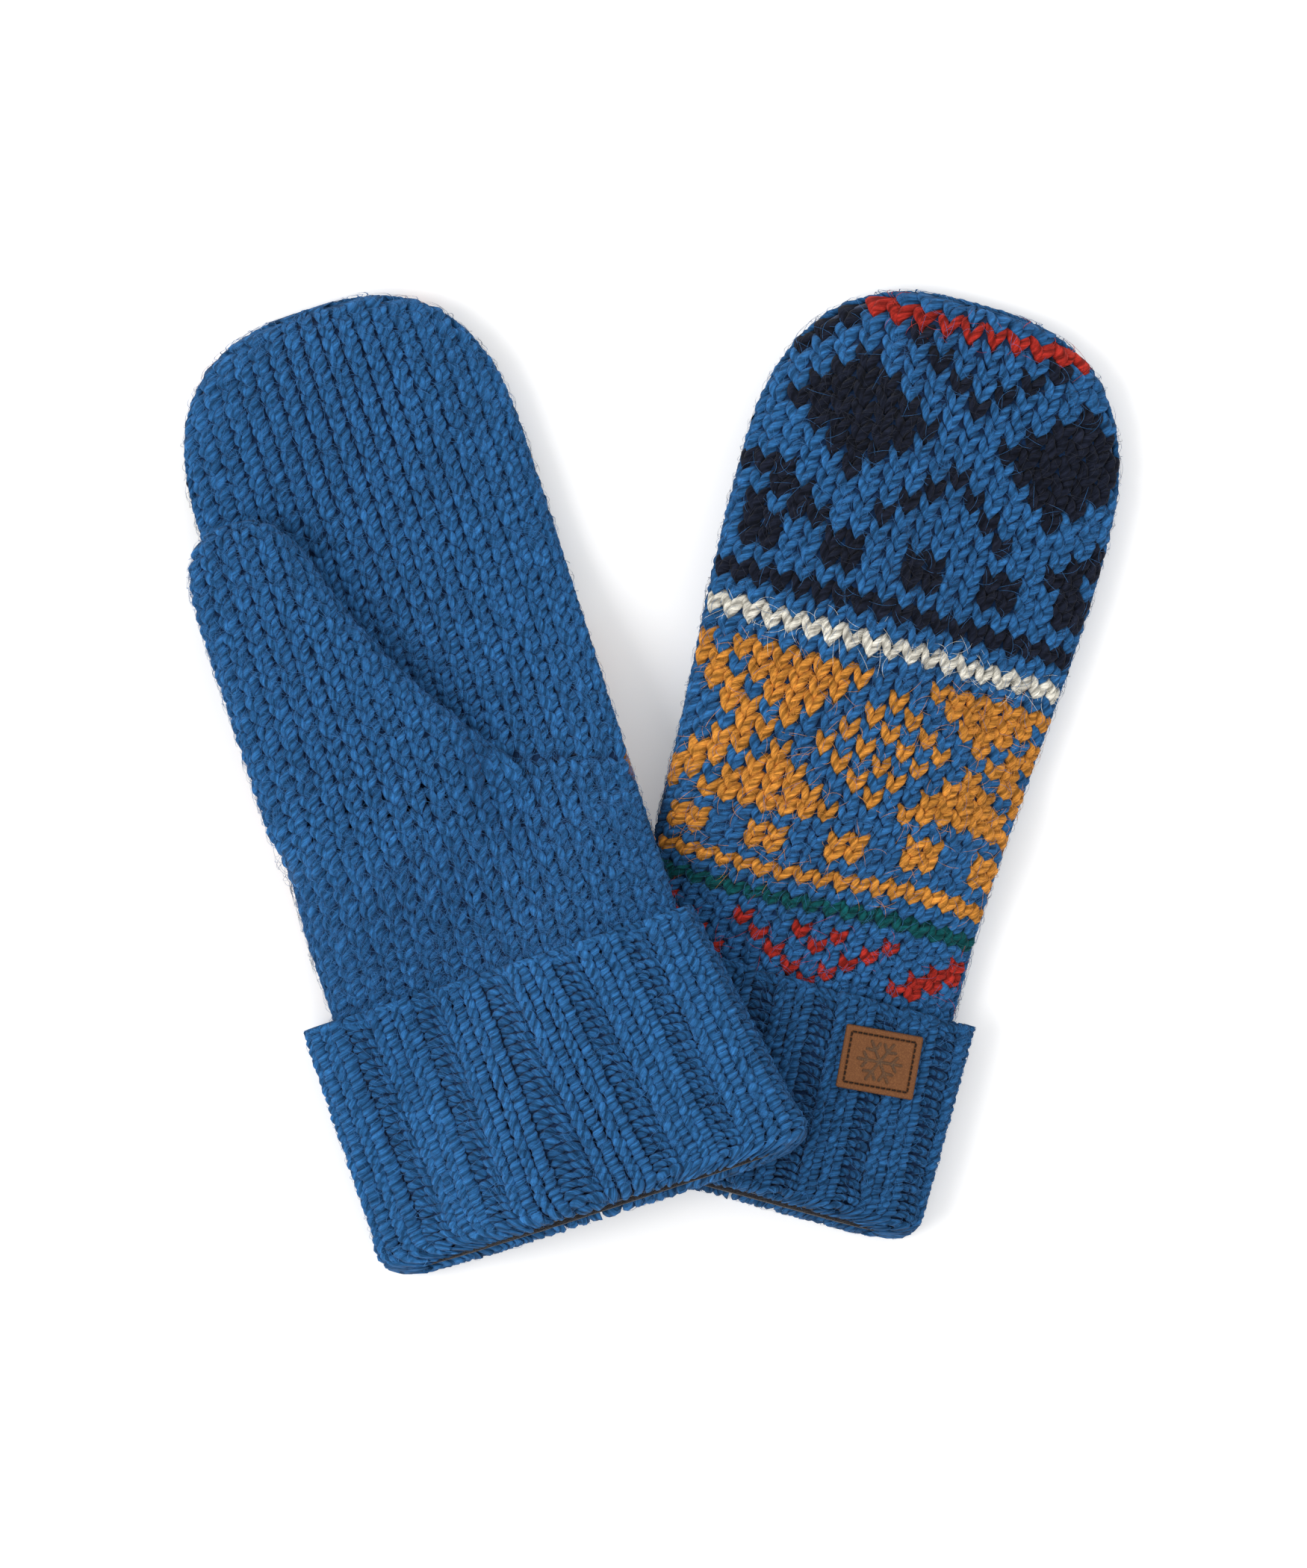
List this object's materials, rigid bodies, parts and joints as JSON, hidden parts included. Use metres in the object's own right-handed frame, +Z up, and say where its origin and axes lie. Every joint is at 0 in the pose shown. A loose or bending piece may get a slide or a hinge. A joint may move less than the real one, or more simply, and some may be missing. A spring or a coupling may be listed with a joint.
{
  "type": "pair of knitted mittens",
  "caption": "Lined knitted wool mittens with turned-up rib cuffs and a colourwork back, one lying over the other.",
  "frame": {"origin": "middle of the pair's footprint, on the surface that it lies on", "axes": "+Z up from the surface, +Y towards the finger tips, +X towards the right mitten"},
  "size_m": [0.2666, 0.2803, 0.0379],
  "materials": {
    "colourwork_wool": "matt heathered wool knitted in colourwork",
    "blue_wool": "matt heathered wool",
    "seam_wool": "matt linked seam",
    "fleece": "matt brushed fleece",
    "leather": "matt",
    "thread": "matt waxed thread"
  },
  "bodies": {
    "right_mitten": {"right_back_panel": "colourwork_wool", "right_upper_palm": "blue_wool", "right_lower_palm": "blue_wool", "right_rib_cuff": "blue_wool", "right_side_seam": "seam_wool", "right_palm_seam": "seam_wool", "right_back_lining": "fleece", "right_upper_palm_lining": "fleece", "right_lower_palm_lining": "fleece", "right_cuff_lining": "fleece", "right_patch": "leather", "right_patch_thread": "thread"},
    "left_mitten": {"left_back_panel": "colourwork_wool", "left_upper_palm": "blue_wool", "left_lower_palm": "blue_wool", "left_rib_cuff": "blue_wool", "left_side_seam": "seam_wool", "left_palm_seam": "seam_wool", "left_back_lining": "fleece", "left_upper_palm_lining": "fleece", "left_lower_palm_lining": "fleece", "left_cuff_lining": "fleece"},
    "left_thumb": {"left_thumb_stall": "blue_wool", "left_thumb_lining": "fleece"},
    "right_thumb": {"right_thumb_stall": "blue_wool", "right_thumb_lining": "fleece"}
  },
  "joints": [
    {"name": "left_lift_off", "type": "slide", "parent": "right_mitten", "child": "left_mitten", "axis": [0, 0, 1], "range_m": [0, 0.12]},
    {"name": "left_thumb_fold", "type": "hinge", "parent": "left_mitten", "child": "left_thumb", "pos_m": [-0.06859, -0.00617, 0.024], "axis": [0.9494, 0.314, 0], "range_deg": [0, 60]},
    {"name": "right_thumb_fold", "type": "hinge", "parent": "right_mitten", "child": "right_thumb", "pos_m": [0.04472, 0.00365, 0.0065], "axis": [-0.9646, 0.2639, 0], "range_deg": [0, 60]}
  ]
}
